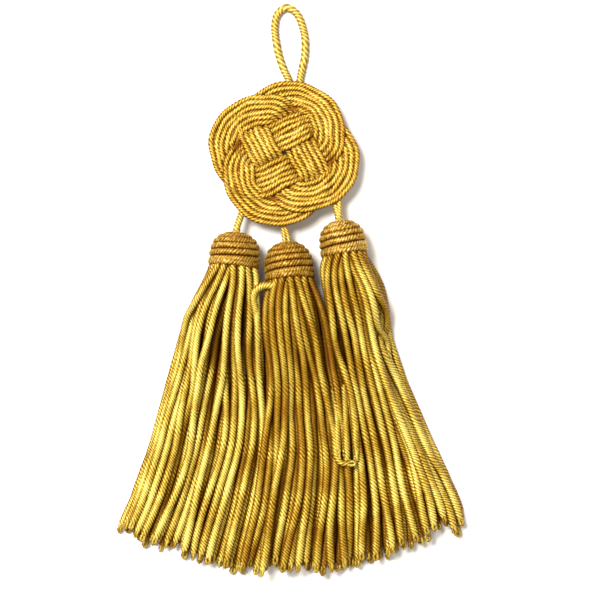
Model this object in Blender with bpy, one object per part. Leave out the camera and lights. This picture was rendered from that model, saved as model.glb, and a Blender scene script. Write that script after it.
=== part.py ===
"""Key tassel: a knotted rosette with a hanging loop and three bullion-fringe tassels.

It lies on its back on a surface at Z = 0, with X to its right and Y towards the loop.
The origin is on that surface, at the middle of the object's outline.
"""

import math

import bmesh
import bpy
from mathutils import Matrix, Vector

MM = 0.001
GAP = 0.3 * MM
WELD = 0.001 * MM
SHARP_ANGLE = math.radians(40)
UP = Vector((0.0, 0.0, 1.0))

# Cords
LOOP_CORD = 2.8 * MM
PLIES = 3
LAY_PER_DIAMETER = 2.36
STEPS_PER_LAY = 9
PLY_GROOVE = 0.76
CURVE_STEPS = 12

# Rosette: six cords side by side, woven as a four-bight mat
ROSETTE_CENTRE = (-3.1 * MM, 54.5 * MM)
ROSETTE_TURN = math.radians(27)
ROSETTE_TILT = math.radians(4)
LAYS = 6
LAY_PITCH = 2.15 * MM
RIDGE = 0.6 * MM
BAND_HEIGHT = 2.6 * MM
LAYER_RISE = 1.8 * MM
BAR_OFFSET = 6.8 * MM
BAR_HALF = 12.0 * MM
SHOULDER_RADIUS = 7.5 * MM
SHOULDER_TURN = math.radians(65)
SHOULDER_RUN = 3.0 * MM
EAR_MIDDLE = math.radians(315)
LAP = 1.0 * MM
LAP_SCALE = 0.95
OUTER_REACH = 29.5 * MM

# Heads: domes wound with cord, as base centre, top centre, radius and droop of the top
TURN_PITCH = 2.8 * MM
TURN_DEPTH = 0.45 * MM
DOME_POWER = 4
DOME_STEPS = 200
HEAD_SIDES = 24
CROWN_RADIUS = 1.6 * MM
FLAT_SPOT = 0.2 * MM
HEADS = {
    "left": {"base": (-23.5, 8.6), "top": (-22.2, 22.9), "radius": 10.35, "droop": 4.0},
    "centre": {"base": (-1.0, 3.2), "top": (-2.4, 19.1), "radius": 10.1, "droop": 9.0},
    "right": {"base": (20.9, 13.4), "top": (18.6, 27.6), "radius": 9.7, "droop": 4.0},
}

# Hangers: cord diameter, half the distance between a bail's legs, and the hitch on the rosette's back (mm)
HANGER_RISE = 2.2 * MM
HANGER_TAIL = 6.0
HANGERS = {
    "left": {"diameter": 2.6, "spread": 0.0, "hitch": (-19.8, 40.0)},
    "centre": {"diameter": 2.2, "spread": 1.4, "hitch": (-3.2, 28.4)},
    "right": {"diameter": 2.2, "spread": 1.3, "hitch": (17.4, 38.0)},
}

# Skirts: three sheets of square strands that fan out and settle on the surface
STRAND = 2.1 * MM
STRAND_PITCH = 3.2 * MM
SHEET_RISE = 2.45 * MM
SHEET_LEAN = 0.6 * MM
LEAN_START = -60.0 * MM
LEAN_LENGTH = 30.0 * MM
SHEETS = (11, 14, 12)
ROOT_SPACING = 1.35 * MM
ROOT_DEPTH = 1.1 * MM
PLATE_INSET = 0.5 * MM
PLATE_DEPTH = 1.8 * MM
SETTLE_LENGTH = 62.0 * MM
EDGE_MARGIN = 1.4 * MM
STATIONS = (0.06, 0.15, 0.3, 0.5, 0.74, 1.0)
TIP_SCATTER = 1.6 * MM
STRAND_PHASE = 2.4
SHEET_PHASE = 1.9

# The skirts' side edges, row by row from the heads to the tips (x at each y, mm)
EDGES = (
    {"y": 12.0, "left": -33.0, "left_centre": -13.2, "centre_right": 12.4, "right": 30.6},
    {"y": 4.0, "left": -37.0, "left_centre": -13.0, "centre_right": 13.2, "right": 36.0},
    {"y": -4.5, "left": -41.4, "left_centre": -12.8, "centre_right": 14.2, "right": 38.2},
    {"y": -20.5, "left": -46.2, "left_centre": -11.6, "centre_right": 17.0, "right": 40.4},
    {"y": -36.5, "left": -50.6, "left_centre": -10.6, "centre_right": 19.4, "right": 45.8},
    {"y": -60.5, "left": -57.0, "left_centre": -11.4, "centre_right": 22.2, "right": 56.2},
    {"y": -84.5, "left": -64.6, "left_centre": -14.6, "centre_right": 23.0, "right": 67.0},
    {"y": -100.0, "left": -71.2, "left_centre": -18.0, "centre_right": 23.0, "right": 71.8},
    {"y": -114.0, "left": -76.0, "left_centre": -21.0, "centre_right": 22.6, "right": 77.0},
)
SIDES = {
    "left": ("left", "left_centre"),
    "centre": ("left_centre", "centre_right"),
    "right": ("centre_right", "right"),
}

# The line that the tips follow, and the row where their place across it is read (mm)
TIP_ROW = -100.0
TIP_LINE = ((-71.0, -97.5), (-45.0, -106.5), (-20.0, -112.9), (22.0, -112.6), (46.0, -103.5), (71.0, -93.0))

# The loop's centre line, from one sewn end to the other (mm)
LOOP_ROUTE = (
    (-0.6, 73.0), (-0.9, 79.0), (-1.4, 83.5), (-3.6, 88.3), (-5.5, 93.8), (-6.9, 101.0), (-6.9, 106.2),
    (-5.8, 109.8), (-2.5, 112.3), (0.6, 111.0), (2.9, 107.4), (4.6, 101.0), (4.7, 94.0), (3.6, 88.3),
    (2.9, 83.5), (2.9, 79.0), (2.9, 73.0),
)


def yarn_material(name, colour, roughness):
    """A plain silky yarn finish."""
    material = bpy.data.materials.new(name)
    material.use_nodes = True
    shader = material.node_tree.nodes["Principled BSDF"]
    shader.inputs["Base Color"].default_value = (*colour, 1.0)
    shader.inputs["Roughness"].default_value = roughness
    shader.inputs["Metallic"].default_value = 0.0
    return material


def add_object(name, bm, material):
    """Turn a bmesh into a named object with outward faces."""
    bmesh.ops.recalc_face_normals(bm, faces=bm.faces)
    mesh = bpy.data.meshes.new(name)
    bm.to_mesh(mesh)
    bm.free()
    mesh.materials.append(material)
    mesh.shade_smooth()
    mesh.set_sharp_from_angle(angle=SHARP_ANGLE)
    obj = bpy.data.objects.new(name, mesh)
    bpy.context.scene.collection.objects.link(obj)
    return obj


def union(obj, others):
    """Join other objects' solids to this one's in one step, and keep them as hidden guides."""
    guides = bpy.data.collections.new(obj.name + "_guides")
    bpy.context.scene.collection.children.link(guides)
    for other in others:
        guides.objects.link(other)
        bpy.context.scene.collection.objects.unlink(other)
        other.hide_render = True
        other.display_type = "WIRE"
    join = obj.modifiers.new("join guides", "BOOLEAN")
    join.operation = "UNION"
    join.solver = "EXACT"
    join.operand_type = "COLLECTION"
    join.collection = guides


def sweep(bm, outline, frames):
    """Carry a closed outline from frame to frame as one capped solid."""
    ring = [bm.verts.new(frames[0] @ Vector((x, y, 0.0))) for x, y in outline]
    cap = bm.faces.new(ring)
    for step, frame in enumerate(frames[1:]):
        extruded = bmesh.ops.extrude_face_region(bm, geom=[cap])["geom"]
        if step > 0:
            bmesh.ops.delete(bm, geom=[cap], context="FACES_ONLY")
        cap = next(item for item in extruded if isinstance(item, bmesh.types.BMFace))
        for vert, (x, y) in zip(cap.verts, outline):
            vert.co = frame @ Vector((x, y, 0.0))


def frames_along(points):
    """A frame at each point: local Z along the path, local Y as upright as it can be."""
    frames = []
    last = len(points) - 1
    for index, point in enumerate(points):
        along = (points[min(index + 1, last)] - points[max(index - 1, 0)]).normalized()
        side = UP.cross(along).normalized()
        frame = Matrix((side, along.cross(side), along)).transposed().to_4x4()
        frame.translation = point
        frames.append(frame)
    return frames


def smooth_path(route, step):
    """Evenly spaced points on a smooth curve through the route's own points."""
    ends = [route[0], *route, route[-1]]
    fine = []
    for a, b, c, d in zip(ends, ends[1:], ends[2:], ends[3:]):
        for part in range(CURVE_STEPS):
            t = part / CURVE_STEPS
            curve = 2 * b + (c - a) * t + (2 * a - 5 * b + 4 * c - d) * t**2 + (3 * b - a - 3 * c + d) * t**3
            fine.append(curve / 2)
    fine.append(route[-1])
    lengths = [0.0]
    for before, after in zip(fine, fine[1:]):
        lengths.append(lengths[-1] + (after - before).length)
    count = max(2, round(lengths[-1] / step))
    points = []
    piece = 0
    for index in range(count + 1):
        reach = lengths[-1] * index / count
        while piece < len(fine) - 2 and lengths[piece + 1] < reach:
            piece += 1
        share = (reach - lengths[piece]) / (lengths[piece + 1] - lengths[piece])
        points.append(fine[piece].lerp(fine[piece + 1], share))
    return points


def twisted_cord(name, route, diameter, material):
    """A laid cord of three plies along a route, with its ends cut square."""
    lay = diameter * LAY_PER_DIAMETER
    points = smooth_path(route, lay / STEPS_PER_LAY)
    outline = []
    for corner in range(2 * PLIES):
        radius = diameter / 2 * (1.0 if corner % 2 == 0 else PLY_GROOVE)
        angle = math.pi * corner / PLIES
        outline.append((radius * math.cos(angle), radius * math.sin(angle)))
    twist = 2 * math.pi / STEPS_PER_LAY
    frames = [frame @ Matrix.Rotation(twist * index, 4, "Z") for index, frame in enumerate(frames_along(points))]
    bm = bmesh.new()
    sweep(bm, outline, frames)
    return add_object(name, bm, material)


def blend(t):
    """Rise smoothly from 0 to 1."""
    t = min(max(t, 0.0), 1.0)
    return t * t * (3 - 2 * t)


def table_value(rows, y, column):
    """Read a column of the edge table at any y, in metres."""
    for upper, lower in zip(rows, rows[1:]):
        if y >= lower["y"] * MM or lower is rows[-1]:
            share = (upper["y"] * MM - y) / ((upper["y"] - lower["y"]) * MM)
            return (upper[column] + (lower[column] - upper[column]) * share) * MM


def line_value(line, x):
    """Read a line of (x, y) corners at any x, in metres."""
    for before, after in zip(line, line[1:]):
        if x <= after[0] * MM or after is line[-1]:
            share = (x - before[0] * MM) / ((after[0] - before[0]) * MM)
            return (before[1] + (after[1] - before[1]) * share) * MM


# Rosette
def knot_arm_path():
    """One arm of the mat's centre line, from one hidden under-crossing to the next."""
    half_bar = BAR_HALF - BAR_OFFSET
    place = Vector((-BAR_OFFSET, BAR_OFFSET, 0.0))
    heading = math.pi
    points = []

    def straight(length, steps):
        nonlocal place
        start = place.copy()
        ahead = Vector((math.cos(heading), math.sin(heading), 0.0))
        for step in range(steps):
            points.append(start + ahead * length * step / steps)
        place = start + ahead * length

    def arc(radius, angle, steps):
        nonlocal place, heading
        centre = place + Vector((-math.sin(heading), math.cos(heading), 0.0)) * radius
        start = heading
        for step in range(steps):
            turned = start + angle * step / steps
            points.append(centre + Vector((math.sin(turned), -math.cos(turned), 0.0)) * radius)
        heading = start + angle
        place = centre + Vector((math.sin(heading), -math.cos(heading), 0.0)) * radius

    straight(half_bar, steps=2)
    arc(SHOULDER_RADIUS, SHOULDER_TURN, steps=5)
    straight(SHOULDER_RUN, steps=1)
    inward = Vector((-math.sin(heading), math.cos(heading)))
    outer_radius = (place.y - place.x) / (inward.x - inward.y)
    outer_turn = 2 * (EAR_MIDDLE - heading)
    arc(outer_radius, outer_turn, steps=11)
    straight(SHOULDER_RUN, steps=1)
    arc(SHOULDER_RADIUS, SHOULDER_TURN, steps=5)
    straight(BAR_HALF + BAR_OFFSET, steps=7)
    points.append(place)
    return points


def arm_level(reach, length):
    """Height share of the band, 0 under and 1 over, at a distance along the arm."""
    shoulder = BAR_HALF - BAR_OFFSET + SHOULDER_RADIUS * SHOULDER_TURN + SHOULDER_RUN
    outer_run = length - 2 * shoulder - 2 * BAR_OFFSET
    crossings = (
        (0.0, 0.0),
        (shoulder, 1.0),
        (shoulder + outer_run, 0.0),
        (length - 2 * BAR_OFFSET, 1.0),
        (length, 0.0),
    )
    for (start, low), (end, high) in zip(crossings, crossings[1:]):
        if reach <= end or end == length:
            return low + (high - low) * blend((reach - start) / (end - start))


def rosette_arm():
    """The ridged band of six cords along one arm; its first end is drawn in to lap into the arm before."""
    flat = knot_arm_path()
    flat[0] -= (flat[1] - flat[0]).normalized() * LAP
    reaches = [0.0]
    for before, after in zip(flat, flat[1:]):
        reaches.append(reaches[-1] + (after - before).length)
    length = reaches[-1] - LAP
    points = [place + UP * LAYER_RISE * arm_level(reach - LAP, length) for place, reach in zip(flat, reaches)]

    half = LAYS * LAY_PITCH / 2
    outline = [(half, 0.0)]
    for edge in range(2 * LAYS + 1):
        height = BAND_HEIGHT - (RIDGE if edge % 2 == 0 else 0.0)
        outline.append((half - edge * LAY_PITCH / 2, height))
    outline.append((-half, 0.0))

    frames = []
    for index, frame in enumerate(frames_along([Vector((p.x, p.y, 0.0)) for p in points])):
        frame.translation = points[index]
        frames.append(frame)
    drawn_in = Matrix.Diagonal((LAP_SCALE, LAP_SCALE, 1.0, 1.0))
    frames[0] = frames[0] @ Matrix.Translation((0.0, BAND_HEIGHT * (1 - LAP_SCALE) / 2, 0.0)) @ drawn_in
    bm = bmesh.new()
    sweep(bm, outline, frames)
    return bm


def rosette_underside(y):
    """Height of the mat's back: it lies on the loop's sewn ends and rises towards the heads."""
    return LOOP_CORD + GAP + (ROSETTE_CENTRE[1] + OUTER_REACH - y) * math.tan(ROSETTE_TILT)


def build_rosette(material):
    """Four arms, each a quarter turn on from the last, joined into one mat."""
    place = bpy.data.objects.new("rosette_place", None)
    bpy.context.scene.collection.objects.link(place)
    place.location = (*ROSETTE_CENTRE, rosette_underside(ROSETTE_CENTRE[1]))
    place.rotation_euler = (-ROSETTE_TILT, 0.0, 0.0)
    rosette = add_object("rosette_knot", rosette_arm(), material)
    arms = [rosette]
    for quarter in range(1, 4):
        arm = bpy.data.objects.new(f"rosette_arm_{quarter}", rosette.data)
        bpy.context.scene.collection.objects.link(arm)
        arms.append(arm)
    for quarter, arm in enumerate(arms):
        arm.parent = place
        arm.rotation_euler = (0.0, 0.0, ROSETTE_TURN + quarter * math.pi / 2)
    union(rosette, arms[1:])


# Heads
def head_frame(head):
    """A head's place: local Z from its base centre to its top, local Y up and local X to the left."""
    base = Vector((*head["base"], 0.0)) * MM
    top = Vector((*head["top"], 0.0)) * MM
    droop = math.radians(head["droop"])
    along = (top - base).normalized() * math.cos(droop) - UP * math.sin(droop)
    side = UP.cross(along).normalized()
    frame = Matrix((side, along.cross(side), along)).transposed().to_4x4()
    frame.translation = base
    return frame


def head_profile(head):
    """Half section of a head from its base centre out and up to its crown, one ridge for each turn."""
    radius = head["radius"] * MM
    height = (Vector(head["top"]) - Vector(head["base"])).length * MM
    dome = []
    for step in range(DOME_STEPS + 1):
        rise = height * step / DOME_STEPS
        dome.append(Vector((radius * (1 - (rise / height) ** DOME_POWER) ** 0.5, 0.0, rise)))
    lengths = [0.0]
    for before, after in zip(dome, dome[1:]):
        lengths.append(lengths[-1] + (after - before).length)
    usable = next(length for length, point in zip(lengths, dome) if point.x <= CROWN_RADIUS)
    turns = round(usable / TURN_PITCH)
    profile = [Vector((0.0, 0.0, 0.0))]
    for edge in range(2 * turns + 1):
        reach = usable * edge / (2 * turns)
        near = min(range(len(dome)), key=lambda index: abs(lengths[index] - reach))
        ahead = dome[min(near + 1, len(dome) - 1)] - dome[max(near - 1, 0)]
        outward = Vector((ahead.z, 0.0, -ahead.x)).normalized()
        depth = TURN_DEPTH if edge % 2 == 0 else 0.0
        profile.append(dome[near] - outward * depth)
    profile[1].z = 0.0
    profile.append(Vector((0.0, 0.0, profile[-1].z)))
    return profile


def build_head(side, head, material):
    """A wound dome lying on a small flat spot."""
    bm = bmesh.new()
    profile = head_profile(head)
    verts = [bm.verts.new(point) for point in profile]
    edges = [bm.edges.new(pair) for pair in zip(verts, verts[1:])]
    bmesh.ops.spin(
        bm, geom=verts + edges, cent=(0, 0, 0), axis=(0, 0, 1), angle=2 * math.pi, steps=HEAD_SIDES,
        use_merge=True,
    )
    bmesh.ops.remove_doubles(bm, verts=bm.verts, dist=WELD)
    frame = head_frame(head)
    bm.transform(frame)
    lowest = min(vert.co.z for vert in bm.verts)
    lift = UP * (-lowest - FLAT_SPOT)
    bmesh.ops.translate(bm, verts=bm.verts, vec=lift)
    cut = bmesh.ops.bisect_plane(
        bm, geom=[*bm.verts, *bm.edges, *bm.faces], plane_co=(0, 0, 0), plane_no=(0, 0, 1), clear_inner=True
    )
    rim = [item for item in cut["geom_cut"] if isinstance(item, bmesh.types.BMEdge)]
    bmesh.ops.holes_fill(bm, edges=rim, sides=0)
    add_object(f"head_{side}", bm, material)
    frame.translation += lift
    return frame, profile[-1].z


# Skirts
def strand_points(side, frame, sheet, index):
    """The centres of one strand from its root in the plate to its tip, and the root's height."""
    count = SHEETS[sheet]
    across = index / (count - 1)
    root_x = ((count - 1) / 2 - index) * ROOT_SPACING
    root_low = (sheet - 1) * (SHEET_RISE + sheet_step(ROOT_SPACING)) - sheet_step(ROOT_SPACING) / 2
    root_z = root_low + (index % 2) * sheet_step(ROOT_SPACING)
    root = frame @ Vector((root_x, root_z, -GAP - ROOT_DEPTH))
    left, right = SIDES[side]
    points = [root]
    tip_left = table_value(EDGES, TIP_ROW * MM, left)
    tip_right = table_value(EDGES, TIP_ROW * MM, right)
    scatter = TIP_SCATTER * math.sin(STRAND_PHASE * index + SHEET_PHASE * sheet)
    tip_y = line_value(TIP_LINE, tip_left + (tip_right - tip_left) * across) + scatter
    for share in STATIONS:
        y = root.y + (tip_y - root.y) * share
        settled = blend((root.y - y) / SETTLE_LENGTH)
        lean = SHEET_LEAN * (sheet - 1) * blend((LEAN_START - y) / LEAN_LENGTH)
        start = table_value(EDGES, y, left) + EDGE_MARGIN
        end = table_value(EDGES, y, right) - EDGE_MARGIN
        steps = [sheet_step((end - start) / (number - 1)) for number in SHEETS[: sheet + 1]]
        resting = STRAND / 2 + sheet * SHEET_RISE + sum(steps[:-1]) + (index % 2) * steps[-1]
        points.append(Vector((start + (end - start) * across + lean, y, root.z + (resting - root.z) * settled)))
    return points


def sheet_step(spacing):
    """Height between neighbours in a sheet: they ride up on each other until there is room side by side."""
    return math.sqrt(max(STRAND_PITCH**2 - spacing**2, 0.0)) if spacing < STRAND_PITCH else 0.0


def build_skirt(side, head, frame, material):
    """A fringe of loose strands with their roots fused into one plate under the head."""
    radius = head["radius"] * MM - PLATE_INSET
    bm = bmesh.new()
    bmesh.ops.create_cone(
        bm, cap_ends=True, segments=HEAD_SIDES, radius1=radius, radius2=radius, depth=PLATE_DEPTH
    )
    bm.transform(frame @ Matrix.Translation((0, 0, -GAP - PLATE_DEPTH / 2)))
    skirt = add_object(f"skirt_{side}", bm, material)
    half = STRAND / 2
    outline = ((half, -half), (half, half), (-half, half), (-half, -half))
    strands = bmesh.new()
    for sheet, count in enumerate(SHEETS):
        for index in range(count):
            frames = []
            for point in strand_points(side, frame, sheet, index):
                section = Matrix.Rotation(math.pi / 2, 4, "X")
                section.translation = point
                frames.append(section)
            sweep(strands, outline, frames)
    union(skirt, [add_object(f"strands_{side}", strands, material)])


# Cords
def build_loop(material):
    """The hanging loop, flat on the surface, with both ends under the rosette."""
    route = [Vector((x * MM, y * MM, LOOP_CORD / 2)) for x, y in LOOP_ROUTE]
    twisted_cord("hanging_loop", route, LOOP_CORD, material)


def build_hanger(side, frame, crown, material):
    """The short cord from a head's crown to the rosette's back: one cord, or a bail of two legs."""
    hanger = HANGERS[side]
    diameter = hanger["diameter"] * MM
    spread = hanger["spread"] * MM

    def above_head(x, rise):
        return frame @ Vector((-x, 0.0, crown + GAP + rise))

    def under_rosette(x, y):
        return Vector((x * MM, y * MM, rosette_underside(y * MM) - GAP - diameter / 2))

    hitch_x, hitch_y = hanger["hitch"]
    route = [above_head(-spread, 0.0), above_head(-spread, HANGER_RISE)]
    if spread:
        half = hanger["spread"]
        route.append(under_rosette(hitch_x - half, hitch_y - half))
        route.append(under_rosette(hitch_x, hitch_y))
        route.append(under_rosette(hitch_x + half, hitch_y - half))
        route.append(above_head(spread, HANGER_RISE))
        route.append(above_head(spread, 0.0))
    else:
        route.append(under_rosette(hitch_x, hitch_y - HANGER_TAIL))
        route.append(under_rosette(hitch_x, hitch_y))
    twisted_cord(f"hanger_{side}", route, diameter, material)


for old in list(bpy.data.objects):
    bpy.data.objects.remove(old, do_unlink=True)

gold_cord = yarn_material("gold_cord", (0.62, 0.38, 0.07), 0.45)
gold_knot = yarn_material("gold_knot", (0.60, 0.36, 0.06), 0.45)
gold_winding = yarn_material("gold_winding", (0.42, 0.23, 0.04), 0.50)
gold_fringe = yarn_material("gold_fringe", (0.45, 0.29, 0.04), 0.42)

build_loop(gold_cord)
build_rosette(gold_knot)
for side, head in HEADS.items():
    frame, crown = build_head(side, head, gold_winding)
    build_hanger(side, frame, crown, gold_cord)
    build_skirt(side, head, frame, gold_fringe)
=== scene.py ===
"""Key tassel of gold silk cord: the looks of its loop, rosette, hangers, wound heads and bullion skirts.

Metres, +Z up. It lies on its back on the floor, with +Y from the fringe's tips to the hanging loop.
"""

import math

import bmesh
import bpy
import numpy as np
from mathutils import Matrix, Vector


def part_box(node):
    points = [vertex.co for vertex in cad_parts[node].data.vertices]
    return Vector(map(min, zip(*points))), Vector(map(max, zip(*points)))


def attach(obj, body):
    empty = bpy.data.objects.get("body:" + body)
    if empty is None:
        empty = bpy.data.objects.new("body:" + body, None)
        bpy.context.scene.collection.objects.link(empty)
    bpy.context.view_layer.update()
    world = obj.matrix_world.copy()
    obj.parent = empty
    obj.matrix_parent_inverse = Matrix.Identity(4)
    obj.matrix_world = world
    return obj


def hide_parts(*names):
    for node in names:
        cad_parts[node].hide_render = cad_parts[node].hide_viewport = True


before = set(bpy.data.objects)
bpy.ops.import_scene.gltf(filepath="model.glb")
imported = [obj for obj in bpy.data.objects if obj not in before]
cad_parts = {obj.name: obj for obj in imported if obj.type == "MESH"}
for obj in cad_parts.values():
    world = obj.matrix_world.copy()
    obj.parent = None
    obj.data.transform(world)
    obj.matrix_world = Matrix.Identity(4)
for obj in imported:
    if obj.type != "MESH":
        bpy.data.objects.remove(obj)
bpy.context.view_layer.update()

# The view
# The camera looks straight down from a little under a metre, with a long lens, so the tassel shows
# without perspective at the sides.
MM = 0.001
PICTURE_WIDTH = 240 * MM
PICTURE_CENTRE = (3.0 * MM, -4.5 * MM)
MEAN_HEIGHT = 6 * MM
CAMERA_DISTANCE = 900 * MM
SENSOR = 36.0

camera = bpy.data.objects.new("camera", bpy.data.cameras.new("camera"))
bpy.context.scene.collection.objects.link(camera)
camera.location = (*PICTURE_CENTRE, MEAN_HEIGHT + CAMERA_DISTANCE)
camera.data.sensor_width = SENSOR
camera.data.lens = SENSOR * CAMERA_DISTANCE / PICTURE_WIDTH
camera.data.clip_start = 10 * MM
bpy.context.scene.camera = camera

# Hanging loop
# A length of laid cord, four glossy plies twisted together, bent into a long eye. Both ends are sewn
# to the rosette's back, so they run under its rim.
UP = np.array([0.0, 0.0, 1.0])
CORNERS_PER_PLY = 3
GROOVE = 0.7
# Painted shade on the sides of every cord: it fades out between these shares of facing up, and its tone.
SIDE_SHADE_FADE = (0.2, 0.8)
SIDE_SHADE_TONE = 1.6
LAY_DRIFTS = ((9 * MM, 0.3), (23 * MM, 0.8))
SEAM = 0.001 * MM
WELD = 0.01 * MM
CURVE_POINTS = 12
DYE_DETAIL = 2.0
PATCH_SCALE = 110.0
PATCH_SHADE = 0.6
FLECK_SCALE = 800.0
FILAMENT_DETAIL = 3.0
FILAMENTS_PER_PLY = 5.0
FILAMENTS_PER_MM = 0.35
FILAMENTS_BY_TONE = 60.0
FILAMENT_SHADE = 0.5
FILAMENT_BUMP = 0.08 * MM
FILAMENT_BUMP_STRENGTH = 0.55
TONE_SHADE = 0.5
BASE_SHADE = 0.17
SHADE_STOPS = (0.0, 0.5, 1.1)
ROUGHNESS = 0.30
ROUGHNESS_SWING = 0.25
METALLIC = 0.35
SPECULAR = 0.15
LOOP_CORD = 3.1 * MM
LOOP_PLIES = 4
LOOP_LAY = 7.4 * MM
LOOP_STEP = 0.5 * MM
LOOP_TONE = 0.6
LOOP_ROUTE = (
    (-0.6, 73.0), (-0.9, 79.0), (-1.4, 83.5), (-3.6, 88.3), (-5.5, 93.8), (-6.9, 101.0), (-7.1, 106.6),
    (-5.9, 110.6), (-2.7, 113.0), (0.8, 111.5), (3.2, 107.8), (4.9, 101.0), (4.9, 94.0), (3.8, 88.3),
    (2.9, 83.5), (2.9, 79.0), (2.9, 73.0),
)


class Value:
    """A socket of a finish. Python's operators on it add Math nodes."""

    def __init__(self, finish, socket):
        self.finish = finish
        self.socket = socket

    def maths(self, operation, *terms):
        return self.finish.node("Math", {"operation": operation}, dict(enumerate(terms)))

    def cosine(self):
        return self.maths("COSINE", self)

    def __add__(self, other):
        return self.maths("ADD", self, other)

    def __mul__(self, other):
        return self.maths("MULTIPLY", self, other)

    def __sub__(self, other):
        return self.maths("SUBTRACT", self, other)

    def __rsub__(self, other):
        return self.maths("SUBTRACT", other, self)


class Finish:
    """A material and its nodes."""

    def __init__(self, name):
        self.material = bpy.data.materials.new(name)
        self.material.use_nodes = True
        self.tree = self.material.node_tree
        self.shader = self.tree.nodes["Principled BSDF"]

    def node(self, kind, settings=None, inputs=None, output=0):
        """Add a node of a type, set it up, feed its sockets and give back one of its outputs."""
        node = self.tree.nodes.new("ShaderNode" + kind)
        for name, setting in (settings or {}).items():
            setattr(node, name, setting)
        for name, value in (inputs or {}).items():
            self.feed(node.inputs[name], value)
        return Value(self, node.outputs[output])

    def feed(self, socket, value):
        """Link a value to a socket, or set the socket to a constant."""
        if isinstance(value, Value):
            self.tree.links.new(value.socket, socket)
        else:
            socket.default_value = value

    def mix(self, factor, first, second):
        return self.node("Mix", {"data_type": "RGBA"}, {0: factor, 6: first, 7: second}, output=2)


def silk(name, plies, deep, middle, bright, groove_shade=0.8, fleck=0.6):
    """Twisted silky yarn: filaments along each ply, painted shade in the grooves, uneven dye with flecks
    that are partly painted glints.
    """
    finish = Finish(name)
    lay = finish.node("UVMap", {"uv_map": "lay"})
    along = finish.node("SeparateXYZ", inputs={0: lay})
    around = finish.node("SeparateXYZ", inputs={0: lay}, output=1)
    tone = finish.node("Attribute", {"attribute_name": "tone"}, output=2)
    crest = 0.5 - (around * (2 * math.pi * plies)).cosine() * 0.5
    place = finish.node("TexCoord", output=3)
    patches = finish.node("TexNoise", inputs={"Vector": place, "Scale": PATCH_SCALE, "Detail": DYE_DETAIL})
    flecks = finish.node("TexNoise", inputs={"Vector": place, "Scale": FLECK_SCALE, "Detail": DYE_DETAIL})
    spun = finish.node("CombineXYZ", inputs={
        0: along * FILAMENTS_PER_MM,
        1: around * (plies * FILAMENTS_PER_PLY),
        2: tone * FILAMENTS_BY_TONE,
    })
    filaments = finish.node("TexNoise", inputs={"Vector": spun, "Scale": 1.0, "Detail": FILAMENT_DETAIL})

    # Flecks are random light and dark specks, partly painted glints.
    uneven = (patches - 0.5) * PATCH_SHADE + (flecks - 0.5) * fleck + (filaments - 0.5) * FILAMENT_SHADE
    # Painted shade in the grooves between plies and painted light on their crests.
    shade = (crest - 0.5) * groove_shade + tone * TONE_SHADE + uneven + BASE_SHADE
    start, half, full = SHADE_STOPS
    low = finish.node("MapRange", {"clamp": True}, {0: shade, 1: start, 2: half, 3: 0.0, 4: 1.0})
    high = finish.node("MapRange", {"clamp": True}, {0: shade, 1: half, 2: full, 3: 0.0, 4: 1.0})
    colour = finish.mix(high, finish.mix(low, (*deep, 1.0), (*middle, 1.0)), (*bright, 1.0))
    finish.feed(finish.shader.inputs["Base Color"], colour)
    finish.feed(finish.shader.inputs["Roughness"], filaments * ROUGHNESS_SWING + ROUGHNESS)
    relief = {"Strength": FILAMENT_BUMP_STRENGTH, "Distance": FILAMENT_BUMP, "Height": filaments}
    finish.feed(finish.shader.inputs["Normal"], finish.node("Bump", inputs=relief))
    finish.shader.inputs["Metallic"].default_value = METALLIC
    finish.shader.inputs["Specular IOR Level"].default_value = SPECULAR
    return finish.material


def reach_along(route):
    """How far along a route each of its points is."""
    return np.concatenate([[0.0], np.cumsum(np.linalg.norm(np.diff(route, axis=0), axis=1))])


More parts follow.
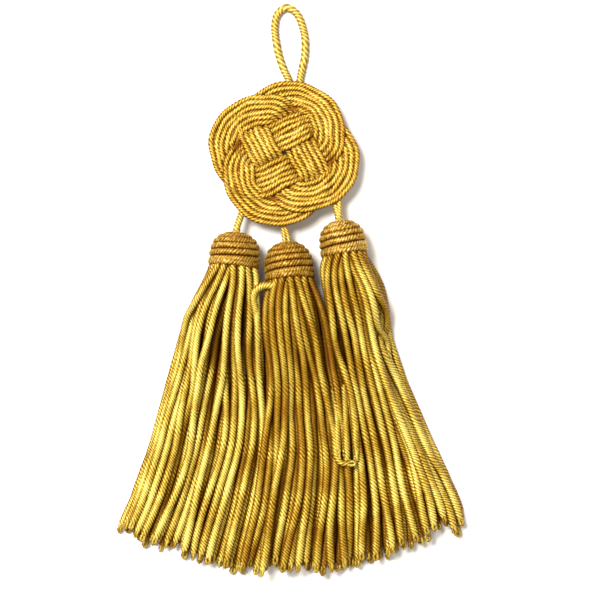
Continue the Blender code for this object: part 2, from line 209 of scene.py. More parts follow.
class Rod:
    """A straight laid cord that stands on the origin, to be bent along routes."""

    def __init__(self, diameter, plies, lay, length, step, closed=False, start=0.0):
        self.rings = round(length / step)
        turns = round(length / lay * plies) / plies
        sides = CORNERS_PER_PLY * plies
        bm = bmesh.new()
        bmesh.ops.create_grid(bm, x_segments=sides, y_segments=self.rings, size=0.5)
        self.mesh = bpy.data.meshes.new("rod")
        bm.to_mesh(self.mesh)

        sheet = np.empty((len(self.mesh.vertices), 3))
        self.mesh.vertices.foreach_get("co", sheet.ravel())
        around, along = sheet[:, 0] + 0.5, sheet[:, 1] + 0.5
        corners = np.empty(len(self.mesh.loops), dtype=int)
        self.mesh.loops.foreach_get("vertex_index", corners)
        lay_map = self.mesh.uv_layers.new(name="lay")
        lay_uv = np.stack([along[corners] * length / MM, around[corners]], axis=1)
        lay_map.data.foreach_set("uv", lay_uv.ravel())
        in_groove = np.rint(around * sides) % CORNERS_PER_PLY == 0
        radius = diameter / 2 * np.where(in_groove, GROOVE, 1.0)
        angle = 2 * math.pi * (around - turns * along)
        for wave, swing in LAY_DRIFTS:
            angle += swing * np.sin(2 * math.pi * round(length / wave) * along + start)
        rolled = np.stack([radius * np.cos(angle), radius * np.sin(angle), along * length], axis=1)
        self.mesh.vertices.foreach_set("co", rolled.ravel())

        bm.clear()
        bm.from_mesh(self.mesh)
        bmesh.ops.remove_doubles(bm, verts=bm.verts, dist=SEAM)
        if not closed:
            bmesh.ops.holes_fill(bm, edges=[edge for edge in bm.edges if edge.is_boundary], sides=0)
        bmesh.ops.recalc_face_normals(bm, faces=bm.faces)
        bm.to_mesh(self.mesh)
        bm.free()
        self.points = np.empty((len(self.mesh.vertices), 3))
        self.mesh.vertices.foreach_get("co", self.points.ravel())
        self.ring = np.rint(self.points[:, 2] / length * self.rings).astype(int)
        self.upward = self.points[:, 1] / np.hypot(self.points[:, 0], self.points[:, 1])

    def bent(self, route, ups, girth=None):
        """The rod's points when it follows a route, with a given upward side and thickness along it."""
        reach = reach_along(route)
        at = np.linspace(0.0, reach[-1], self.rings + 1)
        centre = np.stack([np.interp(at, reach, route[:, axis]) for axis in range(3)], axis=1)
        ups = np.broadcast_to(ups, route.shape)
        upward = np.stack([np.interp(at, reach, ups[:, axis]) for axis in range(3)], axis=1)
        ahead = np.gradient(centre, axis=0)
        if np.allclose(route[0], route[-1]):
            ahead[0] = ahead[-1] = centre[1] - centre[-2]
        ahead /= np.linalg.norm(ahead, axis=1, keepdims=True)
        side = np.cross(upward, ahead)
        side /= np.linalg.norm(side, axis=1, keepdims=True)
        upward = np.cross(ahead, side)
        thick = np.ones(self.rings + 1) if girth is None else np.interp(at / at[-1], *girth)
        wide = self.points[:, :2] * thick[self.ring, None]
        return centre[self.ring] + wide[:, :1] * side[self.ring] + wide[:, 1:] * upward[self.ring]


def smoothstep(edges, x):
    """How far x is from one edge to the other, from 0 to 1, eased at both ends."""
    share = np.clip((x - edges[0]) / (edges[1] - edges[0]), 0.0, 1.0)
    return share * share * (3 - 2 * share)


def laid_cords(name, batches, material, closed=False):
    """One piece of many cords. A batch is a rod, its routes, their upward sides, tones and girth.

    Each cord's sides, away from its top, are darkened as painted shade: the dark lines where cords press on
    each other.
    """
    bm = bmesh.new()
    points = []
    tones = []
    for rod, routes, ups, cord_tones, girth in batches:
        for index, (route, tone) in enumerate(zip(routes, cord_tones)):
            bm.from_mesh(rod.mesh)
            points.append(rod.bent(route, ups[index] if isinstance(ups, list) else ups, girth))
            reach = reach_along(route)
            tone = np.interp(rod.ring / rod.rings * reach[-1], reach, np.broadcast_to(tone, len(reach)))
            # Painted shade on each cord's sides, where the cord turns away from its top.
            tones.append(tone - SIDE_SHADE_TONE * (1.0 - smoothstep(SIDE_SHADE_FADE, rod.upward)))
    mesh = bpy.data.meshes.new(name)
    bm.to_mesh(mesh)
    mesh.vertices.foreach_set("co", np.concatenate(points).ravel())
    mesh.attributes.new("tone", "FLOAT", "POINT").data.foreach_set("value", np.concatenate(tones))
    if closed:
        bm.clear()
        bm.from_mesh(mesh)
        bmesh.ops.remove_doubles(bm, verts=bm.verts, dist=WELD)
        bm.to_mesh(mesh)
    bm.free()
    mesh.update()
    mesh.shade_smooth()
    mesh.materials.append(material)
    piece = bpy.data.objects.new(name, mesh)
    bpy.context.scene.collection.objects.link(piece)
    return piece


def smooth_route(corners, step):
    """Evenly spaced points on a smooth curve through a route's own points."""
    corners = np.asarray(corners, dtype=float)
    padded = np.concatenate([corners[:1], corners, corners[-1:]])
    shares = np.linspace(0.0, 1.0, CURVE_POINTS, endpoint=False)[:, None]
    fine = []
    for a, b, c, d in zip(padded, padded[1:], padded[2:], padded[3:]):
        bend = (2 * a - 5 * b + 4 * c - d) * shares**2 + (3 * b - a - 3 * c + d) * shares**3
        fine.append((2 * b + (c - a) * shares + bend) / 2)
    fine = np.concatenate([*fine, corners[-1:]])
    reach = reach_along(fine)
    at = np.linspace(0.0, reach[-1], max(2, round(reach[-1] / step)) + 1)
    return np.stack([np.interp(at, reach, fine[:, axis]) for axis in range(3)], axis=1)


def route_length(route):
    return float(reach_along(route)[-1])


cord_silk = silk(
    "cord_silk", LOOP_PLIES, deep=(0.30, 0.15, 0.008), middle=(0.60, 0.42, 0.06), bright=(0.88, 0.76, 0.28)
)
loop_route = smooth_route([(x * MM, y * MM, LOOP_CORD / 2) for x, y in LOOP_ROUTE], LOOP_STEP)
loop_rod = Rod(LOOP_CORD, LOOP_PLIES, LOOP_LAY, route_length(loop_route), LOOP_STEP)
hanging_loop = laid_cords("loop_cord", [(loop_rod, [loop_route], UP, [LOOP_TONE], None)], cord_silk)
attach(hanging_loop, "root")
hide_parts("hanging_loop")

# Rosette
# A flat mat knot of one long cord, laid round six times side by side, pulled tight and sewn on its back.
# Its centre is four square blocks of a plain weave; its four ears cross each other around them.
ROSETTE_CENTRE = (-3.4 * MM, 53.9 * MM)
ROSETTE_STRETCH = (1.005, 0.975)
ROSETTE_TURN = math.radians(27)
ROSETTE_TILT = math.radians(4)
ROSETTE_REACH = 29.5 * MM
SEWING_GAP = 0.3 * MM
LAYS = 6
LAY_PITCH = 2.1 * MM
KNOT_CORD = 2.25 * MM
KNOT_PLIES = 4
KNOT_LAY = 5.4 * MM
KNOT_STEP = 0.6 * MM
KNOT_LAY_SHIFT = 2.4
BAR_OFFSET = 6.95 * MM
BAR_HALF = 12.0 * MM
SHOULDER_RADIUS = 7.5 * MM
SHOULDER_TURN = math.radians(65)
SHOULDER_RUN = 3.0 * MM
EAR_TOP = math.radians(315)
WEAVE_RISE = 1.25 * MM
WEAVE_EASING = 6
BAND_EDGE = (5.2 * MM, 7.0 * MM)
NOT_A_CROSSING = 22 * MM
FAR_OFF = 1.0
UNEVENNESS = 0.26 * MM
UNEVEN_WAVES = (9, 14, 23, 37)
UNEVEN_SEED = 5
FILLER_CORD = 1.5 * MM
FILLER_DROP = 0.55 * MM
FILLER_STEP = 1.2 * MM
COURSE_TONE = 0.4
COURSE_TONE_SPREAD = 0.45
GOLDEN_SHARE = 0.618
TUCKED_SHADE_TONE = 1.1


def knot_arm():
    """Centre line of one of the knot's four arms, and how far along it each crossing's middle is."""
    points = []
    place = np.array([-BAR_OFFSET, BAR_OFFSET])
    heading = math.pi

    def run(length):
        nonlocal place
        steps = round(length / (KNOT_STEP / 2))
        ahead = np.array([math.cos(heading), math.sin(heading)])
        points.extend(place + ahead * length * step / steps for step in range(steps))
        place = place + ahead * length

    def arc(radius, angle):
        nonlocal place, heading
        steps = round(radius * angle / (KNOT_STEP / 2))
        centre = place + np.array([-math.sin(heading), math.cos(heading)]) * radius
        turned = heading + angle * np.arange(steps + 1) / steps
        round_it = centre + np.stack([np.sin(turned), -np.cos(turned)], axis=1) * radius
        points.extend(round_it[:-1])
        place = round_it[-1]
        heading += angle

    run(BAR_HALF - BAR_OFFSET)
    arc(SHOULDER_RADIUS, SHOULDER_TURN)
    run(SHOULDER_RUN)
    ear_radius = (place[1] - place[0]) / (-math.sin(heading) - math.cos(heading))
    ear_turn = 2 * (EAR_TOP - heading)
    arc(ear_radius, ear_turn)
    run(SHOULDER_RUN)
    arc(SHOULDER_RADIUS, SHOULDER_TURN)
    run(BAR_HALF + BAR_OFFSET)
    shoulder = BAR_HALF - BAR_OFFSET + SHOULDER_RADIUS * SHOULDER_TURN + SHOULDER_RUN
    ear = ear_radius * ear_turn
    length = 2 * shoulder + ear + 2 * BAR_OFFSET
    return np.array(points), (0.0, shoulder, shoulder + ear, length - 2 * BAR_OFFSET, length)


def rosette_lays():
    """The cord's six closed courses, woven over and under, and their tones, with painted shade where a
    course is tucked under.
    """
    arm, crossings = knot_arm()
    quarters = []
    for quarter in range(4):
        turn = ROSETTE_TURN - quarter * math.pi / 2
        rotation = np.array([[math.cos(turn), math.sin(turn)], [-math.sin(turn), math.cos(turn)]])
        quarters.append(arm @ rotation)
    line = np.concatenate(quarters)
    count = len(line)
    total = 4 * crossings[-1]
    reach = np.arange(count) * total / count
    near = np.abs(reach[:, None] % crossings[-1] - np.array(crossings)).argmin(axis=1)
    over = np.where(near % 2 == 1, 1.0, -1.0)

    ahead = np.roll(line, -1, axis=0) - np.roll(line, 1, axis=0)
    ahead /= np.linalg.norm(ahead, axis=1, keepdims=True)
    inward = np.stack([-ahead[:, 1], ahead[:, 0]], axis=1)
    apart = np.abs(reach[:, None] - reach[None, :])
    own_stretch = np.minimum(apart, total - apart) < NOT_A_CROSSING
    rng = np.random.default_rng(UNEVEN_SEED)
    turns = 2 * math.pi * reach / total

    def swing(phases):
        return sum(np.sin(wave * turns + phase) for wave, phase in zip(UNEVEN_WAVES, phases))

    lays = []
    tones = []
    for lay in range(LAYS):
        sway, lift = map(swing, rng.uniform(0, 2 * math.pi, (2, len(UNEVEN_WAVES))))
        course = line + inward * ((lay - (LAYS - 1) / 2) * LAY_PITCH + UNEVENNESS * sway / 2)[:, None]
        gaps = np.linalg.norm(course[:, None] - line[None, :], axis=2)
        gaps[own_stretch] = FAR_OFF
        covered = 1.0 - smoothstep(BAND_EDGE, gaps.min(axis=1))
        level = over * covered
        for _ in range(WEAVE_EASING):
            level = (np.roll(level, 1) + 2 * level + np.roll(level, -1)) / 4
        height = KNOT_CORD / 2 + WEAVE_RISE * (1 + level) + UNEVENNESS * lift / 2
        course = course * ROSETTE_STRETCH
        closed = np.concatenate([np.column_stack([course, height]), [[*course[0], height[0]]]])
        lays.append(closed)
        tone = COURSE_TONE + COURSE_TONE_SPREAD * (lay * GOLDEN_SHARE % 1.0)
        # Painted shade where the course dives under the others.
        tone = tone - TUCKED_SHADE_TONE * np.clip(-level, 0.0, 1.0)
        tones.append(np.append(tone, tone[0]))
    return lays, tones


underside = LOOP_CORD + SEWING_GAP + ROSETTE_REACH * math.tan(ROSETTE_TILT)
rosette_place = Matrix.Translation((*ROSETTE_CENTRE, underside)) @ Matrix.Rotation(-ROSETTE_TILT, 4, "X")
rosette_turn = np.array(rosette_place.to_3x3())
rosette_lift = np.array(rosette_place.translation)
knot_lays, knot_tones = rosette_lays()
knot_routes = [lay @ rosette_turn.T + rosette_lift for lay in knot_lays]
knot_silk = silk(
    "knot_silk", KNOT_PLIES, deep=(0.19, 0.06, 0.001), middle=(0.60, 0.37, 0.03), bright=(0.87, 0.66, 0.25),
    groove_shade=0.5, fleck=1.0,
)
knot_batches = []
for index, route in enumerate(knot_routes):
    length = route_length(route)
    shift = KNOT_LAY_SHIFT * index
    rod = Rod(KNOT_CORD, KNOT_PLIES, KNOT_LAY, length, KNOT_STEP, closed=True, start=shift)
    knot_batches.append((rod, [route], rosette_turn @ UP, [knot_tones[index]], None))
# Thin fillers lie a little lower between neighbouring courses, with a tone of 0 so they show dark: painted
# shade in the gaps between the cords.
for route, beside in zip(knot_routes, knot_routes[1:]):
    middle = (route + beside) / 2 - rosette_turn @ UP * FILLER_DROP
    filler = Rod(FILLER_CORD, LOOP_PLIES, KNOT_LAY, route_length(middle), FILLER_STEP, closed=True)
    knot_batches.append((filler, [middle], rosette_turn @ UP, [0.0], None))
rosette = laid_cords("rosette_cords", knot_batches, knot_silk, closed=True)
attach(rosette, "root")
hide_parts("rosette_knot")

# Hangers
# Short cords that join each tassel to the rosette's back: a single cord on the left, and doubled cords,
# looped through the sewing, on the other two. They come out of the middle of each head's crown.
# Heads and hangers are in mm as seen from above, and a head's droop is in degrees.
HEADS = {
    "left": {"base": (-23.5, 8.6), "top": (-22.2, 22.9), "radius": 10.35, "droop": 4.0, "tone": 0.5},
    "centre": {"base": (-1.0, 3.2), "top": (-2.4, 19.1), "radius": 10.1, "droop": 9.0, "tone": 0.35},
    "right": {"base": (20.9, 13.4), "top": (18.6, 27.6), "radius": 9.7, "droop": 4.0, "tone": 0.65},
}
HANGERS = {
    "left": {"diameter": 3.0, "spread": 0.0, "hitch": (-19.2, 40.0), "hitch_spread": 0.0},
    "centre": {"diameter": 1.8, "spread": 0.8, "hitch": (-3.9, 26.6), "hitch_spread": 0.3},
    "right": {"diameter": 2.4, "spread": 0.4, "hitch": (17.0, 40.5), "hitch_spread": 1.4},
}
HEAD_LIFT = 0.4 * MM
HANGER_NECK = 0.3
HANGER_RISE = 2.2
HANGER_TAIL = 6.0
HANGER_ROOT = -2.5
HANGER_LAY = 6.0 * MM
HANGER_TONE = 0.5
SEWN_IN = 0.2 * MM

knot_points = np.concatenate(knot_routes)


def head_place(side):
    """A head's place: local Z from its base to its crown, local Y up and local X to the left."""
    head = HEADS[side]
    base = Vector((*head["base"], 0.0)) * MM
    top = Vector((*head["top"], 0.0)) * MM
    droop = math.radians(head["droop"])
    along = (top - base).normalized() * math.cos(droop) - Vector(UP) * math.sin(droop)
    across = Vector(UP).cross(along).normalized()
    place = Matrix((across, along.cross(across), along)).transposed().to_4x4()
    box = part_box(f"head_{side}")
    place.translation = base
    place.translation.z = box[1][2] - head["radius"] * MM * math.cos(droop) + HEAD_LIFT
    return place


def hanger_route(side):
    """From inside the head's crown to the sewing under the rosette, and back for a doubled cord."""
    hanger = HANGERS[side]
    place = head_place(side)
    head = HEADS[side]
    crown = (Vector(head["top"]) - Vector(head["base"])).length
    spread = hanger["spread"]
    hitch_spread = hanger["hitch_spread"]
    hitch_x, hitch_y = hanger["hitch"]

    def above_head(x, rise):
        return place @ (Vector((-x, 0.0, crown + rise)) * MM)

    def under_rosette(x, y):
        gaps = np.linalg.norm(knot_points[:, :2] - np.array((x, y)) * MM, axis=1)
        back = knot_points[gaps < gaps.min() + KNOT_CORD, 2].min() - KNOT_CORD / 2
        return Vector((x * MM, y * MM, back - hanger["diameter"] / 2 * MM + SEWN_IN))

    route = [above_head(-spread, rise) for rise in (HANGER_ROOT, HANGER_NECK, HANGER_RISE)]
    if spread:
        route.append(under_rosette(hitch_x - hitch_spread, hitch_y - hitch_spread))
        route.append(under_rosette(hitch_x, hitch_y))
        route.append(under_rosette(hitch_x + hitch_spread, hitch_y - hitch_spread))
        route += [above_head(spread, rise) for rise in (HANGER_RISE, HANGER_NECK, HANGER_ROOT)]
    else:
        route.append(under_rosette(hitch_x, hitch_y - HANGER_TAIL))
        route.append(under_rosette(hitch_x, hitch_y))
    return smooth_route(route, LOOP_STEP)


for side, hanger in HANGERS.items():
    route = hanger_route(side)
    rod = Rod(hanger["diameter"] * MM, LOOP_PLIES, HANGER_LAY, route_length(route), LOOP_STEP)
    hanger_piece = laid_cords(f"hanger_cord_{side}", [(rod, [route], UP, [HANGER_TONE], None)], cord_silk)
    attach(hanger_piece, "root")
    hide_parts(f"hanger_{side}")

# Heads
# A small domed core wound round and round with laid cord from its base to its crown. The winding's colours
# are painted a shade browner than the other cords', as painted shade, because the yarn lies across the
# light.
TURN_PITCH = 2.8 * MM
WINDING_CORD = 2.8 * MM
WINDING_PLIES = 4
WINDING_LAY = 4.6 * MM
WINDING_STEP = 0.55 * MM
TURN_POINTS = 90
TIGHTEST_TURN = 0.6 * MM
DOME_POWER = 4
DOME_POINTS = 400
CROWN_RADIUS = 1.5 * MM
CORE_DEPTH = 2.0 * MM
CORE_HEIGHT = 0.88
CORE_STRIDE = 16
CORE_SIDES = 48

winding_silk = silk(
    "winding_silk", WINDING_PLIES, deep=(0.16, 0.048, 0.001), middle=(0.43, 0.24, 0.018),
    bright=(0.84, 0.67, 0.28), groove_shade=0.5, fleck=1.6,
)


def dome_profile(side):
    """The head's half outline from base to crown: radius, height and length along it."""
    head = HEADS[side]
    height = (Vector(head["top"]) - Vector(head["base"])).length * MM
    rise = np.linspace(0.0, height, DOME_POINTS)
    radius = head["radius"] * MM * np.sqrt(1 - (rise / height) ** DOME_POWER)
    reach = np.concatenate([[0.0], np.cumsum(np.hypot(np.diff(radius), np.diff(rise)))])
    return radius, rise, reach


def winding_route(side):
    """The winding's centre line and its outward side, from the base to the crown."""
    radius, rise, reach = dome_profile(side)
    stop = np.interp(-CROWN_RADIUS, -radius, reach)
    turns = stop / TURN_PITCH + 0.5
    angle = np.linspace(0.0, 2 * math.pi * turns, 1 + round(turns * TURN_POINTS))
    at = np.clip(TURN_PITCH * (angle / (2 * math.pi) - 0.5), TURN_PITCH / 2, reach[-1])
    slope = np.stack([np.gradient(rise, reach), -np.gradient(radius, reach)], axis=1)
    out_r = np.interp(at, reach, slope[:, 0])
    out_z = np.interp(at, reach, slope[:, 1])
    depth = WINDING_CORD / 2
    centre_r = np.maximum(np.interp(at, reach, radius) - out_r * depth, TIGHTEST_TURN)
    centre_z = np.interp(at, reach, rise) - out_z * depth
    spread = np.stack([np.cos(angle - math.pi / 2), np.sin(angle - math.pi / 2)], axis=1)
    route = np.column_stack([spread * centre_r[:, None], centre_z])
    ups = np.column_stack([spread * out_r[:, None], out_z])
    return route, ups


for side in HEADS:
    place = head_place(side)
    turn = np.array(place.to_3x3())
    lift = np.array(place.translation)
    route, ups = winding_route(side)
    rod = Rod(WINDING_CORD, WINDING_PLIES, WINDING_LAY, route_length(route), WINDING_STEP)
    batch = (rod, [route @ turn.T + lift], [ups @ turn.T], [HEADS[side]["tone"]], None)
    winding = laid_cords(f"head_winding_{side}", [batch], winding_silk)
    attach(winding, "root")
    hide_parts(f"head_{side}")

    radius, rise, reach = dome_profile(side)
    bm = bmesh.new()
    outline = []
    for out, up in zip(radius[::CORE_STRIDE], rise[::CORE_STRIDE]):
        outline.append(bm.verts.new((max(out - CORE_DEPTH, 0.0), 0.0, up * CORE_HEIGHT)))
    outline.append(bm.verts.new((0.0, 0.0, outline[-1].co.z)))
    outline.insert(0, bm.verts.new((0.0, 0.0, 0.0)))
    edges = [bm.edges.new(pair) for pair in zip(outline, outline[1:])]
    bmesh.ops.spin(
        bm, geom=outline + edges, axis=(0, 0, 1), angle=2 * math.pi, steps=CORE_SIDES, use_merge=True
    )
    bmesh.ops.remove_doubles(bm, verts=bm.verts, dist=WELD)
    bmesh.ops.recalc_face_normals(bm, faces=bm.faces)
    bm.transform(place)
    core_mesh = bpy.data.meshes.new(f"head_core_{side}")
    bm.to_mesh(core_mesh)
    bm.free()
    core_mesh.shade_smooth()
    core_mesh.materials.append(winding_silk)
    core = bpy.data.objects.new(f"head_core_{side}", core_mesh)
    bpy.context.scene.collection.objects.link(core)
    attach(core, "root")

# Skirts
# Bullion fringe: each strand is a thick yarn twisted hard, doubled and let go, so that it twists back on
# itself and ends in a small loop. They leave the head in rings, spread, and settle on the floor in a heap.
STRAND = 3.2 * MM
STRAND_PLIES = 5
STRAND_LAY = 6.2 * MM
STRAND_STEP = 0.75 * MM
STRAND_ROOM = (2.8 * MM, 3.4 * MM)
ROOT_RISE = 0.3 * MM
ROOT_JITTER = 0.12
ORDER_SHUFFLE = 2.6 * MM
ROW_STEP = 1.5 * MM
FIRST_ROW = 14.0 * MM
GRAVITY = 15.0
PULL = 7000.0
DRAG = 150.0
FALL_DRAG = 37.5
TOP_SPEED = 0.8
CEILING = 18.6 * MM
SHOULDER_SLOPE = 1.8
SHOULDER_RUN_OUT = 34 * MM
SETTLING_ROUNDS = 14
PUSH_SHARE = 0.42
CLOSEST = 0.001 * MM
EDGE_MARGIN = 1.4 * MM
MINGLING = 2.5 * MM
WANDER = 1.0 * MM
WANDER_SHARES = (0.3, 1.0)
WANDER_RUN_IN = 30 * MM
WANDER_LENGTHS = (36 * MM, 100 * MM)
TIP_SCATTER = 2.2 * MM
EASING = 3
DYES = (0.35, 1.0)
DYE_BLEND = 5
# Painted shade for strands sunk between higher strands on both sides: the wall slopes over which it sets
# in, and its tone.
SUNK = (0.3, 1.1)
SUNK_SHADE_TONE = -0.45
# Painted glints: slow waves of lighter and darker tone along each strand.
GLINT = 0.4
GLINT_LENGTHS = (18 * MM, 50 * MM)
GIRTH = ((0.0, 0.3, 0.7, 0.97, 1.0), (0.86, 0.9, 1.0, 1.1, 0.8))
# Painted light and shade by skirt, at the heads and at the tips: the left skirt lighter, the centre darker
# near its head.
SKIRT_LIGHT_AND_SHADE = {"left": (0.35, 0.35), "centre": (-0.45, -0.1), "right": (-0.08, 0.22)}
# Painted shade on the first rows of each strand, under the head's rim.
ROOT_SHADE = 0.8
ROOT_ROWS = 5
EYE_YARN = 1.5 * MM
EYE_PLIES = 2
EYE_LAY = 2.6 * MM
EYE_STEP = 0.45 * MM
EYE_REACH = 2.4 * MM
EYE_WIDTH = (0.6, 1.1)
EYE = (
    (0.4, -1.8), (0.7, -0.3), (1.0, 0.9), (0.7, 1.9), (0.0, 2.2), (-0.7, 1.9), (-1.0, 0.9), (-0.7, -0.3),
    (-0.4, -1.8),
)
EYE_TURN = math.radians(80)
EYE_TONES = (0.3, 1.0)
STRAND_SEED = 7
EYE_SEED = 11

# The rings in which strands leave a head: how many strands and the radius of each (mm). They are scaled
# so that the outer ring lies ROOT_INSET inside the head's side.
ROOT_RINGS = ((16, 8.6), (12, 5.7), (6, 2.9), (3, 1.3))
ROOT_INSET = 2.1

# A strand that has sprung out under the centre head, and short strands that end on top of the heap (mm)
SPRUNG_STRAND = (
    (-6.6, 1.9, 15.6), (-8.6, 1.3, 16.8), (-11.6, 1.1, 17.2), (-14.3, -0.6, 17.0), (-15.4, -3.4, 16.2),
    (-14.8, -7.4, 15.0), (-13.9, -13.0, 13.2), (-13.2, -21.0, 11.0), (-12.8, -30.0, 8.0),
    (-12.6, -38.0, 5.0),
)
SPRUNG_TONE = 0.9
SHORT_TIPS = ((18.4, -66.2), (22.0, -68.4), (25.6, -65.8))
SHORT_STRAND = ((-1.4, 30.0, -4.0), (-1.0, 18.0, -2.4), (-0.6, 8.0, 0.2), (0.0, 0.0, 0.5))
CURLED_PLACE = (17.6, -69.6)
CURLED_STRAND = (
    (-1.2, 30.0, -4.0), (-1.0, 18.0, -2.4), (-0.6, 9.0, 0.2), (0.0, 3.0, 0.8), (1.8, 0.4, 1.2),
    (5.2, 0.2, 1.0),
)
SHORT_GIRTH = ((0.0, 0.8, 1.0), (1.0, 1.0, 0.6))
SHORT_TONE = 0.7
SHORT_EYE_TONE = 0.9

# The skirts' side edges, row by row from the heads to the tips (x at each y, mm)
EDGES = (
    {"y": 12.0, "left": -33.4, "left_centre": -13.2, "centre_right": 10.2, "right": 31.4},
    {"y": 4.0, "left": -37.2, "left_centre": -13.0, "centre_right": 11.0, "right": 36.2},
    {"y": -4.5, "left": -41.4, "left_centre": -12.8, "centre_right": 12.8, "right": 38.4},
    {"y": -20.5, "left": -46.2, "left_centre": -11.6, "centre_right": 15.6, "right": 40.4},
    {"y": -36.5, "left": -50.6, "left_centre": -10.6, "centre_right": 19.4, "right": 45.8},
    {"y": -60.5, "left": -57.0, "left_centre": -11.4, "centre_right": 22.2, "right": 56.2},
    {"y": -84.5, "left": -65.3, "left_centre": -14.6, "centre_right": 23.0, "right": 67.2},
    {"y": -100.0, "left": -72.4, "left_centre": -18.0, "centre_right": 23.0, "right": 72.5},
    {"y": -114.0, "left": -75.2, "left_centre": -21.0, "centre_right": 22.6, "right": 77.0},
)
SIDES = {
    "left": ("left", "left_centre"),
    "centre": ("left_centre", "centre_right"),
    "right": ("centre_right", "right"),
}
TIP_ROW = -100.0 * MM
TIP_LINE = ((-70.0, -97.5), (-45.0, -106.5), (-20.0, -112.9), (22.0, -112.6), (46.0, -103.5), (71.0, -93.0))


def edge_at(column, y):
    """Where a skirt's edge is at a row, in metres."""
    rows = [row["y"] * MM for row in reversed(EDGES)]
    return np.interp(y, rows, [row[column] * MM for row in reversed(EDGES)])


def skirt_spans(names, y):
    """Where each strand's skirt begins and ends at a row, inside its margins."""
    starts = np.empty(len(names))
    ends = np.empty(len(names))
    for side, (low, high) in SIDES.items():
        starts[names == side] = edge_at(low, y) + EDGE_MARGIN
        ends[names == side] = edge_at(high, y) - EDGE_MARGIN
    return starts, ends


def strand_roots(rng):
    """Each strand's skirt, its root up in the head, and its share of the way across the skirt."""
    names = []
    roots = []
    shares = []
    for side in SIDES:
        place = head_place(side)
        squeeze = (HEADS[side]["radius"] - ROOT_INSET) / ROOT_RINGS[0][1]
        local = []
        for ring, (count, radius) in enumerate(ROOT_RINGS):
            for spoke in range(count):
                spokes = spoke + 0.5 * (ring % 2) + rng.uniform(-ROOT_JITTER, ROOT_JITTER)
                angle = 2 * math.pi * spokes / count
                local.append((radius * squeeze * math.cos(angle), radius * squeeze * math.sin(angle)))
        placed = np.array([place @ Vector((x * MM, z * MM, ROOT_RISE)) for x, z in local])
        shuffled = placed[:, 0] + rng.uniform(-1, 1, len(placed)) * ORDER_SHUFFLE
        names += [side] * len(placed)
        roots.append(placed)
        shares.append(np.argsort(np.argsort(shuffled)) / (len(placed) - 1))
    return np.array(names), np.concatenate(roots), np.concatenate(shares)


def settled(here, y, room, low_edge, high_edge, free):
    """A row's strands once they have pushed each other apart, on the floor and inside the skirts."""
    left = edge_at("left", y)
    right = edge_at("right", y)
    for _ in range(SETTLING_ROUNDS):
        gap = here[:, None] - here[None, :]
        far = np.linalg.norm(gap, axis=2)
        np.fill_diagonal(far, FAR_OFF)
        push = np.clip(room - far, 0.0, None) / np.maximum(far, CLOSEST) * PUSH_SHARE
        here = here + (gap * push[:, :, None]).sum(axis=1)
        here[:, 0] = np.clip(here[:, 0], low_edge, high_edge)
        inside = np.minimum(here[:, 0] - left, right - here[:, 0])
        roof = np.minimum(CEILING, SHOULDER_SLOPE * inside + free)
        here[:, 1] = np.clip(here[:, 1], STRAND / 2, np.maximum(roof, STRAND / 2))
    return here


def sunk_depths(here):
    """How far each strand of a row lies down between strands on both sides of it, from 0 to 1."""
    apart, rise = np.moveaxis(here[None, :] - here[:, None], 2, 0)
    steep = rise / np.maximum(np.abs(apart), STRAND / 2)
    walls = [np.max(steep, axis=1, where=beside, initial=0.0) for beside in (apart < 0, apart > 0)]
    return smoothstep(SUNK, np.minimum(*walls))


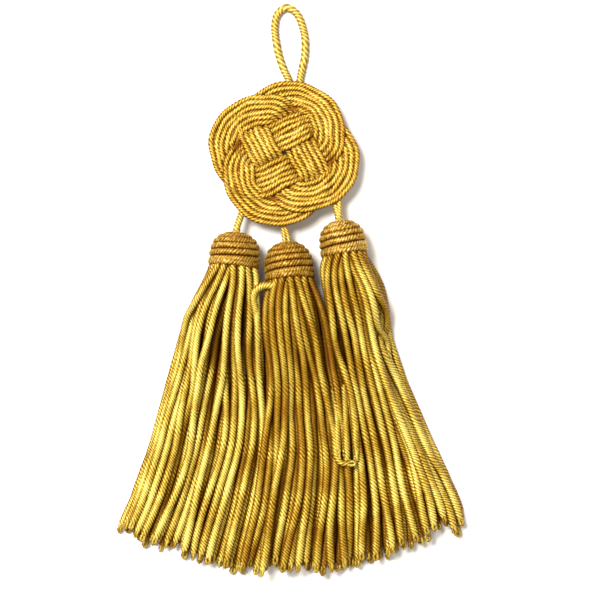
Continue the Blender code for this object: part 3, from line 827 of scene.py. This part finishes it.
def skirt_routes():
    """Every strand's centre line and tones by side: each row follows from the one above."""
    rng = np.random.default_rng(STRAND_SEED)
    names, roots, shares = strand_roots(rng)
    count = len(roots)
    phases = rng.uniform(0, 2 * math.pi, (count, 2))
    waves = rng.uniform(*WANDER_LENGTHS, (count, 2))
    wander = rng.uniform(*WANDER_SHARES, (count, 2)) * WANDER
    glints = rng.uniform(*GLINT_LENGTHS, count)
    starts, ends = skirt_spans(names, TIP_ROW)
    tips = np.interp(starts + (ends - starts) * shares, *(np.array(TIP_LINE).T * MM))
    tips += rng.uniform(-1, 1, count) * TIP_SCATTER
    dyes = rng.uniform(*DYES, count)
    near_head, near_tips = np.array([SKIRT_LIGHT_AND_SHADE[name] for name in names]).T

    now = roots[:, [0, 2]]
    speed = np.zeros((count, 2))
    track = [[tuple(root)] for root in roots]
    tones = [[dye] for dye in dyes]
    target_before = None
    for y in np.arange(FIRST_ROW, tips.min() - ROW_STEP, -ROW_STEP):
        below = roots[:, 1] - y
        starts, ends = skirt_spans(names, y)
        mingling = 0.0 if y > 0 else MINGLING
        low_edge = starts - np.where(names == "left", 0.0, mingling)
        high_edge = ends + np.where(names == "right", 0.0, mingling)
        target = starts + (ends - starts) * shares
        grown = np.clip(below / WANDER_RUN_IN, 0, 1)
        for wave in range(2):
            target += wander[:, wave] * grown * np.sin(2 * math.pi * y / waves[:, wave] + phases[:, wave])
        slope = np.zeros(count) if target_before is None else (target - target_before) / ROW_STEP
        target_before = target
        speed[:, 0] += (PULL * (target - now[:, 0]) + DRAG * (slope - speed[:, 0])) * ROW_STEP
        speed[:, 1] += (-GRAVITY - FALL_DRAG * speed[:, 1]) * ROW_STEP
        np.clip(speed, -TOP_SPEED, TOP_SPEED, out=speed)

        who = np.flatnonzero((y < roots[:, 1]) & (y > tips - ROW_STEP))
        before = now[who]
        free = CEILING * (1 - np.clip(below[who] / SHOULDER_RUN_OUT, 0, 1))
        room = np.interp(y, (TIP_ROW, 0.0), STRAND_ROOM[::-1])
        now[who] = settled(before + speed[who] * ROW_STEP, y, room, low_edge[who], high_edge[who], free)
        speed[who] = (now[who] - before) / ROW_STEP

        down = min(max(y / TIP_ROW, 0.0), 1.0)
        for index, depth in zip(who, sunk_depths(now[who])):
            track[index].append((now[index, 0], y, now[index, 1]))
            # A strand's tone: its random dye, painted glints and painted light and shade by skirt, then
            # painted shade where it lies sunk and at its root.
            lit = dyes[index] + GLINT * math.sin(2 * math.pi * y / glints[index] + phases[index, 1])
            lit += near_head[index] + (near_tips[index] - near_head[index]) * down
            root = ROOT_SHADE * max(0.0, 1.0 - len(tones[index]) / ROOT_ROWS)
            tones[index].append(lit + (SUNK_SHADE_TONE - lit) * depth - root)

    routes = {side: [] for side in SIDES}
    for name, line, tone, tip in zip(names, track, tones, tips):
        line = np.array(line)
        for _ in range(EASING):
            line[1:-1] = (line[:-2] + 2 * line[1:-1] + line[2:]) / 4
        line[:, 2] = np.maximum(line[:, 2], STRAND / 2 * max(GIRTH[1]))
        last = np.searchsorted(-line[:, 1], -tip - EYE_REACH)
        line = line[: max(last, 2)]
        padded = np.pad(tone[: len(line)], DYE_BLEND // 2, mode="edge")
        routes[name].append((line, np.convolve(padded, np.ones(DYE_BLEND) / DYE_BLEND, mode="valid")))
    return routes


fringe_silk = silk(
    "fringe_silk", STRAND_PLIES, deep=(0.19, 0.065, 0.001), middle=(0.49, 0.325, 0.022),
    bright=(0.87, 0.75, 0.21), groove_shade=0.65,
)


def eye_route(strand, rng):
    """The little loop in which a strand ends, turned a random way about the strand."""
    tip = Vector(strand[-1])
    ahead = (tip - Vector(strand[-4])).normalized()
    level = ahead.cross(Vector(UP)).normalized()
    turn = rng.uniform(-EYE_TURN, EYE_TURN)
    across = level * math.cos(turn) + Vector(UP) * math.sin(turn)
    width = rng.uniform(*EYE_WIDTH)
    loop = [tip + (across * x * width + ahead * y) * MM for x, y in EYE]
    route = smooth_route(loop, EYE_STEP)
    route[:, 2] = np.maximum(route[:, 2], EYE_YARN / 2)
    return route


rng = np.random.default_rng(EYE_SEED)
fringe = skirt_routes()
heap = np.concatenate([route for strands in fringe.values() for route, _ in strands])
for side, strands in fringe.items():
    routes, tones = map(list, zip(*strands))
    strand_length = float(np.mean([route_length(route) for route in routes]))
    strand_rod = Rod(STRAND, STRAND_PLIES, STRAND_LAY, strand_length, STRAND_STEP)
    eyes = [eye_route(route, rng) for route in routes]
    eye_rod = Rod(EYE_YARN, EYE_PLIES, EYE_LAY, route_length(eyes[0]), EYE_STEP)
    batches = [(eye_rod, eyes, UP, rng.uniform(*EYE_TONES, len(eyes)), None)]
    if side == "centre":
        sprung = smooth_route(np.array(SPRUNG_STRAND) * MM, STRAND_STEP)
        sprung_rod = Rod(STRAND, STRAND_PLIES, STRAND_LAY, route_length(sprung), STRAND_STEP)
        batches.append((sprung_rod, [sprung], UP, [SPRUNG_TONE], None))
    if side == "right":
        short = []
        shapes = [(tip, SHORT_STRAND) for tip in SHORT_TIPS] + [(CURLED_PLACE, CURLED_STRAND)]
        for place, shape in shapes:
            near = np.hypot(*(heap[:, :2] - np.array(place) * MM).T) < STRAND
            top = np.array([*place, 0.0]) * MM + UP * (heap[near, 2].max() + STRAND / 2)
            short.append(smooth_route(top + np.array(shape) * MM, STRAND_STEP))
        short_rod = Rod(STRAND, STRAND_PLIES, STRAND_LAY, route_length(short[0]), STRAND_STEP)
        short_eyes = [eye_route(route, rng) for route in short]
        batches.append((short_rod, short, UP, [SHORT_TONE] * len(short), SHORT_GIRTH))
        batches.append((eye_rod, short_eyes, UP, [SHORT_EYE_TONE] * len(short), None))
    batches.append((strand_rod, routes, UP, tones, GIRTH))
    skirt = laid_cords(f"skirt_strands_{side}", batches, fringe_silk)
    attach(skirt, "root")
    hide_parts(f"skirt_{side}")

# Studio
# A plain white floor under a soft light from the upper left and a faintly warm sky, bright enough to
# burn the floor out to white around the tassel's own shadow.
FLOOR_SIZE = 3.0
FLOOR_WHITE = (0.94, 0.935, 0.92, 1.0)
FLOOR_ROUGHNESS = 0.9
KEY_FROM = Vector((-0.34, 0.32, 1.0))
KEY_DISTANCE = 1.6
KEY_SIZE = 0.5
KEY_POWER = 37.0
KEY_COLOUR = (1.0, 0.98, 0.94)
SKY_COLOUR = (1.0, 0.95, 0.86, 1.0)
SKY = 0.66

bm = bmesh.new()
bmesh.ops.create_grid(bm, x_segments=1, y_segments=1, size=FLOOR_SIZE / 2)
floor_mesh = bpy.data.meshes.new("floor")
bm.to_mesh(floor_mesh)
bm.free()
floor_finish = Finish("floor_white")
floor_finish.shader.inputs["Base Color"].default_value = FLOOR_WHITE
floor_finish.shader.inputs["Roughness"].default_value = FLOOR_ROUGHNESS
floor_mesh.materials.append(floor_finish.material)
floor = bpy.data.objects.new("floor", floor_mesh)
bpy.context.scene.collection.objects.link(floor)

key = bpy.data.objects.new("key_light", bpy.data.lights.new("key_light", "AREA"))
key.data.energy = KEY_POWER
key.data.size = KEY_SIZE
key.data.color = KEY_COLOUR
key.location = KEY_FROM.normalized() * KEY_DISTANCE
key.rotation_euler = KEY_FROM.to_track_quat("Z", "Y").to_euler()
bpy.context.scene.collection.objects.link(key)

world = bpy.data.worlds.new("studio")
world.use_nodes = True
sky = world.node_tree.nodes["Background"]
sky.inputs["Color"].default_value = SKY_COLOUR
sky.inputs["Strength"].default_value = SKY
bpy.context.scene.world = world
bpy.context.scene.view_settings.view_transform = "Standard"
